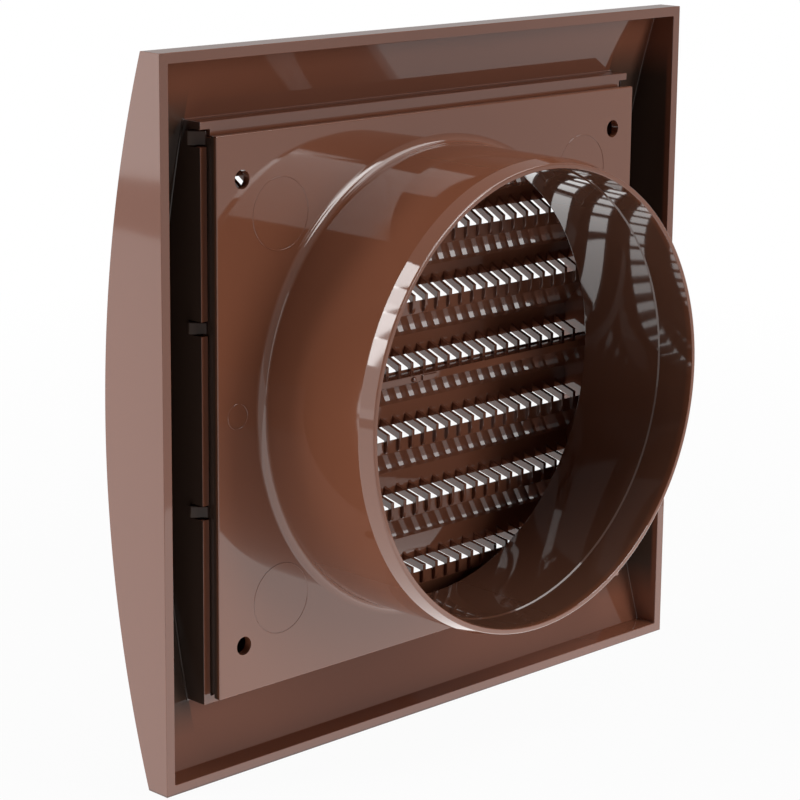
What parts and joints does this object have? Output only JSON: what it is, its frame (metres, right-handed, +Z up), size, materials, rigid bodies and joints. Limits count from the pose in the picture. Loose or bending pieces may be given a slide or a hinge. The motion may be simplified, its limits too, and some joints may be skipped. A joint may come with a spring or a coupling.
{
  "type": "louvred exhaust vent",
  "caption": "Louvred wall vent for an exhaust hood duct: a bowed rectangular cover with insect combs clips over a base plate that carries a round duct collar.",
  "frame": {"origin": "centre of the duct collar at the back face of the base plate, where it lies on the wall", "axes": "+Y out of the back along the duct collar, -Y out of the louvred front, +Z up, +X to the left when the back is seen"},
  "size_m": [0.1906, 0.0593, 0.1844],
  "materials": {
    "base_plate_brown": "gloss",
    "duct_collar_brown": "gloss",
    "catch_l1_brown": "gloss",
    "catch_l2_brown": "gloss",
    "catch_l3_brown": "gloss",
    "catch_r1_brown": "gloss",
    "catch_r2_brown": "gloss",
    "catch_r3_brown": "gloss",
    "cover_shell_brown": "gloss",
    "grille_frame_brown": "gloss",
    "louvre_1_brown": "gloss",
    "louvre_2_brown": "gloss",
    "louvre_3_brown": "gloss",
    "louvre_4_brown": "gloss",
    "louvre_5_brown": "gloss",
    "louvre_6_brown": "gloss",
    "louvre_7_brown": "gloss",
    "mid_rib_brown": "gloss"
  },
  "bodies": {
    "base": {"base_plate": "base_plate_brown", "duct_collar": "duct_collar_brown", "catch_l1": "catch_l1_brown", "catch_l2": "catch_l2_brown", "catch_l3": "catch_l3_brown", "catch_r1": "catch_r1_brown", "catch_r2": "catch_r2_brown", "catch_r3": "catch_r3_brown"},
    "cover": {"cover_shell": "cover_shell_brown", "grille_frame": "grille_frame_brown", "louvre_1": "louvre_1_brown", "louvre_2": "louvre_2_brown", "louvre_3": "louvre_3_brown", "louvre_4": "louvre_4_brown", "louvre_5": "louvre_5_brown", "louvre_6": "louvre_6_brown", "louvre_7": "louvre_7_brown", "mid_rib": "mid_rib_brown"}
  },
  "joints": [
    {"name": "cover_slide", "type": "slide", "parent": "base", "child": "cover", "axis": [0, -1, 0], "range_m": [0, 0.04]}
  ]
}
